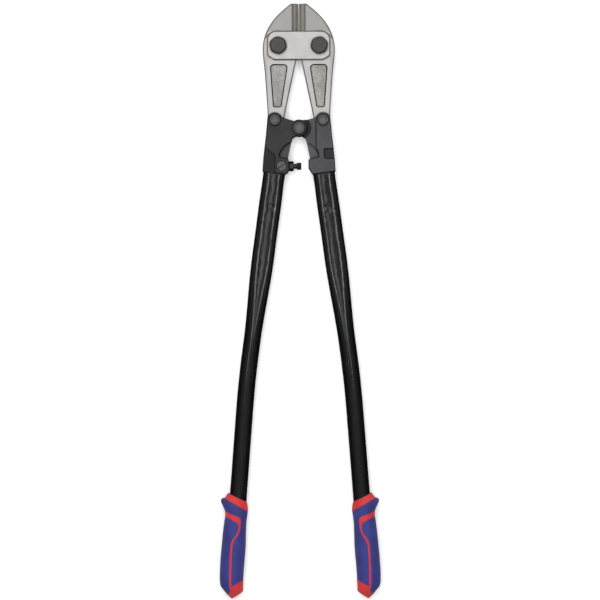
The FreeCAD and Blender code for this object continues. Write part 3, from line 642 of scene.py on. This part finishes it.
# The red inlay's two edges, in mm along and across, from the outer edge to the end patch.
# An across beyond the grip stands for the outer edge itself.
INLAY_UPPER = ((34.4, 99), (39.6, 3.5), (42.4, -7.0), (57.0, -7.2), (67.0, -5.5), (80.6, 3.2),
               (104, 3.1), (138, 1.7), (153, -0.6))
INLAY_LOWER = ((41.6, 99), (48.2, 3.5), (51.0, -3.6), (59.5, -4.3), (66.9, -2.6), (80.0, 6.2),
               (104, 6.0), (138, 4.6), (154, 2.2))
INLAY_START = 39 * MM                   # where the inlay crosses the outer edge
INLAY_STEP = 1.6                        # the longest step along it, in mm
CORNER_CUT = 0.22
CORNER_ROUNDS = 2
INLAY_PROUD = 0.22 * MM
# The inlay's cross-section: the share of its width, and its height over the blue.
INLAY_PROFILE = (
    (0, -0.5 * MM), (0, 0.5 * INLAY_PROUD), (0.06, INLAY_PROUD), (0.25, INLAY_PROUD),
    (0.5, INLAY_PROUD), (0.75, INLAY_PROUD), (0.94, INLAY_PROUD), (1, 0.5 * INLAY_PROUD),
    (1, -0.5 * MM),
)


def between(start, end, share):
    return tuple(a + (b - a) * share for a, b in zip(start, end))


def rounded_path(points):
    """Cut the corners of an open path, keeping its ends."""
    for _ in range(CORNER_ROUNDS):
        cut = [points[0]]
        for start, end in zip(points, points[1:]):
            cut.append(between(start, end, CORNER_CUT))
            cut.append(between(start, end, 1 - CORNER_CUT))
        cut.append(points[-1])
        points = cut
    return points


def divided(points):
    """Split every run of a path so that no step of its upper edge is long."""
    result = [points[0]]
    for start, end in zip(points, points[1:]):
        pieces = max(1, math.ceil(math.dist(start[:2], end[:2]) / INLAY_STEP))
        for piece in range(1, pieces + 1):
            result.append(between(start, end, piece / pieces))
    return result


def inlay_strip(grip, paths, face):
    """The rows of points of the inlay on the front (1) or the back (-1)."""
    strip = []
    for upper_along, upper_across, lower_along, lower_across in paths:
        row = []
        for share, outset in INLAY_PROFILE:
            along = (upper_along + (lower_along - upper_along) * share) * MM
            across = (upper_across + (lower_across - upper_across) * share) * MM
            row.append(grip.point(along, face * grip.angle_at(along, across), outset))
        strip.append(row)
    return strip


def grip_inlay(grip, material):
    """The red line set into the blue, on the front and round to the back."""
    edge = station_values(INLAY_START)[1] / MM
    paths = []
    for upper, lower in zip(INLAY_UPPER, INLAY_LOWER):
        paths.append((upper[0], min(upper[1], edge), lower[0], min(lower[1], edge)))
    paths = divided(rounded_path(paths))
    rings = list(reversed(inlay_strip(grip, paths, -1))) + inlay_strip(grip, paths, 1)
    build(grip.side + "_grip_inlay", rings, grip.side + "_handle", material, closed=False)


# The red patch on the end.
PATCH_TOP = 148.8 * MM                  # along, at its front edge
PATCH_TOP_SLOPE = 0.68                  # how its top climbs on the inner side
PATCH_TOP_SECTION = 145 * MM            # where the distance across is taken from
PATCH_EDGE_SLOPE = 0.30                 # its front edge drifts outward towards the point
PATCH_PROUD = 0.25 * MM
PATCH_BURIED = -0.5 * MM                # its outline turns down into the blue
PATCH_ROWS = 34
PATCH_COLUMNS = 40


def grip_end(grip, material):
    """The red patch that wraps the inner side and the point of the grip's end."""
    end = GRIP_STATIONS[-1][0] * MM
    rings = []
    for row in range(-1, PATCH_ROWS + 1):
        share_down = max(row, 0) / PATCH_ROWS
        edge_along = PATCH_TOP + (end - PATCH_TOP) * share_down
        edge_across = PATCH_EDGE_SLOPE * (edge_along - PATCH_TOP)
        front = grip.angle_at(edge_along, edge_across)
        ring = []
        for column in range(-1, PATCH_COLUMNS + 2):
            share = min(max(column / PATCH_COLUMNS, 0), 1)
            angle = front + 2 * (math.pi - front) * share
            across, _ = grip.section(PATCH_TOP_SECTION, angle)
            top = PATCH_TOP + PATCH_TOP_SLOPE * min(across, 0)
            along = top + (end - top) * share_down
            buried = row < 0 or column < 0 or column > PATCH_COLUMNS
            ring.append(grip.point(along, angle, PATCH_BURIED if buried else PATCH_PROUD))
        rings.append(ring)
    point = sum(rings[-1][1:-1], Vector()) / (PATCH_COLUMNS + 1)
    rings.append([point for _ in rings[-1]])
    piece = build(grip.side + "_grip_end_patch", rings, grip.side + "_handle", material,
                  closed=False)
    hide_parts(grip.side + "_grip_tip")


def make_grips():
    blue = moulded("blue_moulding", (0.021, 0.025, 0.140), (0.028, 0.032, 0.176), 0.02 * MM)
    red = moulded("red_moulding", (0.43, 0.019, 0.022), (0.51, 0.025, 0.028), 0.015 * MM)
    for side, sign in SIDES:
        grip = Grip(side, sign)
        grip_body(grip, blue)
        grip_collar(grip, red)
        grip_inlay(grip, red)
        grip_end(grip, red)


# -------------------------------------------------------------------- studio
DAYLIGHT = (0.98, 0.99, 1.0, 1)         # a trace cooler than white
SKY_SEEN = 0.9                          # how bright the background looks to the camera
JAW_WALL_LIGHT = 0.65
GRIP_WALL_LIGHT = 0.50
FLOOR_HALF = 30.0
FLOOR_DROP = 0.2 * MM                   # so that nothing resting on the floor flickers in it
FLOOR_GLOW = (0.15, 0.55)               # at the tool, and far from it
GLOW_REACH = (0.8, 3.2)

# Each light: tilt sideways in degrees, place along the tool, distance, width, length, power.
STRIPS = (
    ("left_strip", -17, 0.45, 2.0, 0.15, 1.1, 2.9),
    ("middle_strip", -2, 0.45, 2.0, 0.15, 1.1, 1.1),
    ("right_strip", 16, 0.45, 2.0, 0.15, 1.1, 3.2),
)
KEY = ("key_softbox", -14, 1.3, 1.8, 1.1, 1.1, 15)
FILL = ("overhead_fill", 0, -0.1, 2.6, 2.6, 2.6, 60)
AIM_SHARE = 0.4                         # of its place along the tool, that a light aims at


def make_floor():
    """A pale seamless floor that stays pale beyond the reach of the lights."""
    s = Shader("studio_floor", Roughness=0.8)
    s.set(s.surface.inputs["Emission Color"], DAYLIGHT)
    distance = s.node("VectorMath", operation="LENGTH")
    s.link(s.node("TexCoord").outputs["Object"], distance.inputs[0])
    glow = s.remap(distance.outputs["Value"], *GLOW_REACH, *FLOOR_GLOW)
    s.link(glow, s.surface.inputs["Emission Strength"])
    colour = s.blend(s.noise(3, 2), (0.93, 0.93, 0.93), (0.95, 0.95, 0.95))
    material = s.finish(colour)
    half = FLOOR_HALF
    data = bpy.data.meshes.new("studio_floor")
    corners = [(-half, -half, 0), (half, -half, 0), (half, half, 0), (-half, half, 0)]
    data.from_pydata(corners, [], [(0, 1, 2, 3)])
    data.materials.append(material)
    floor = bpy.data.objects.new("studio_floor", data)
    floor.location.z = -FLOOR_DROP
    floor.visible_glossy = False
    bpy.context.scene.collection.objects.link(floor)


def softbox(name, zenith, along, distance, width, length, power):
    """A rectangular soft light, tilted sideways from overhead, that faces the tool."""
    data = bpy.data.lights.new(name, "AREA")
    data.shape = "RECTANGLE"
    data.size = width
    data.size_y = length
    data.energy = power
    lamp = bpy.data.objects.new(name, data)
    tilt = math.radians(zenith)
    lamp.location = (distance * math.sin(tilt), along, distance * math.cos(tilt))
    back = (lamp.location - Vector((0, along * AIM_SHARE, 0))).normalized()
    across = Vector((0, 1, 0)).cross(back).normalized()
    lamp.rotation_euler = Matrix((across, back.cross(across), back)).transposed().to_euler()
    lamp.visible_camera = False
    bpy.context.scene.collection.objects.link(lamp)
    return lamp


def make_lights():
    """Three strips that draw the lines along the tubes, a key for the steel and an even fill."""
    for strip in STRIPS:
        softbox(*strip)
    softbox(*KEY)
    fill = softbox(*FILL)
    fill.visible_glossy = False


def make_world():
    """A pale ceiling, darker towards the sides, and pale walls beyond the tool's two ends."""
    world = bpy.data.worlds.new("studio")
    world.use_nodes = True
    tree = world.node_tree
    direction = tree.nodes.new("ShaderNodeSeparateXYZ")
    tree.links.new(tree.nodes.new("ShaderNodeTexCoord").outputs["Generated"], direction.inputs[0])

    def maths(operation, first, second):
        made = tree.nodes.new("ShaderNodeMath")
        made.operation = operation
        tree.links.new(first, made.inputs[0])
        tree.links.new(second, made.inputs[1])
        return made.outputs[0]

    def ramp(value, low, high, out_low, out_high):
        made = tree.nodes.new("ShaderNodeMapRange")
        for name, number in (("From Min", low), ("From Max", high),
                             ("To Min", out_low), ("To Max", out_high)):
            made.inputs[name].default_value = number
        tree.links.new(value, made.inputs["Value"])
        return made.outputs["Result"]

    height = direction.outputs["Z"]
    forward = direction.outputs["Y"]
    ceiling = ramp(height, 0.1, 0.95, 0.015, 0.28)
    jaw_wall = maths("MULTIPLY", ramp(forward, 0.25, 0.60, 0.0, JAW_WALL_LIGHT),
                     ramp(height, -0.35, 0.0, 0.0, 1.0))
    grip_wall = maths("MULTIPLY", ramp(forward, -0.25, -0.60, 0.0, GRIP_WALL_LIGHT),
                      ramp(height, 0.06, 0.22, 0.0, 1.0))
    studio = maths("MAXIMUM", ceiling, maths("MAXIMUM", jaw_wall, grip_wall))
    strength = tree.nodes.new("ShaderNodeMix")
    tree.links.new(tree.nodes.new("ShaderNodeLightPath").outputs["Is Camera Ray"], strength.inputs["Factor"])
    tree.links.new(studio, strength.inputs[VALUE_A])
    strength.inputs[VALUE_B].default_value = SKY_SEEN
    background = tree.nodes["Background"]
    background.inputs["Color"].default_value = DAYLIGHT
    tree.links.new(strength.outputs[VALUE_MIXED], background.inputs["Strength"])
    bpy.context.scene.world = world


def make_camera():
    data = bpy.data.cameras.new("camera")
    data.lens = data.sensor_width * CAMERA_DISTANCE / PICTURE_WIDTH
    camera = bpy.data.objects.new("camera", data)
    camera.location = (CAMERA_AIM[0], CAMERA_AIM[1], MID_Z + CAMERA_DISTANCE)
    camera.rotation_euler.z = CAMERA_ROLL
    bpy.context.scene.collection.objects.link(camera)
    bpy.context.scene.camera = camera
    bpy.context.scene.view_settings.view_transform = "Standard"


make_camera()
make_floor()
make_lights()
make_world()
dress_cad_nodes()
make_grips()
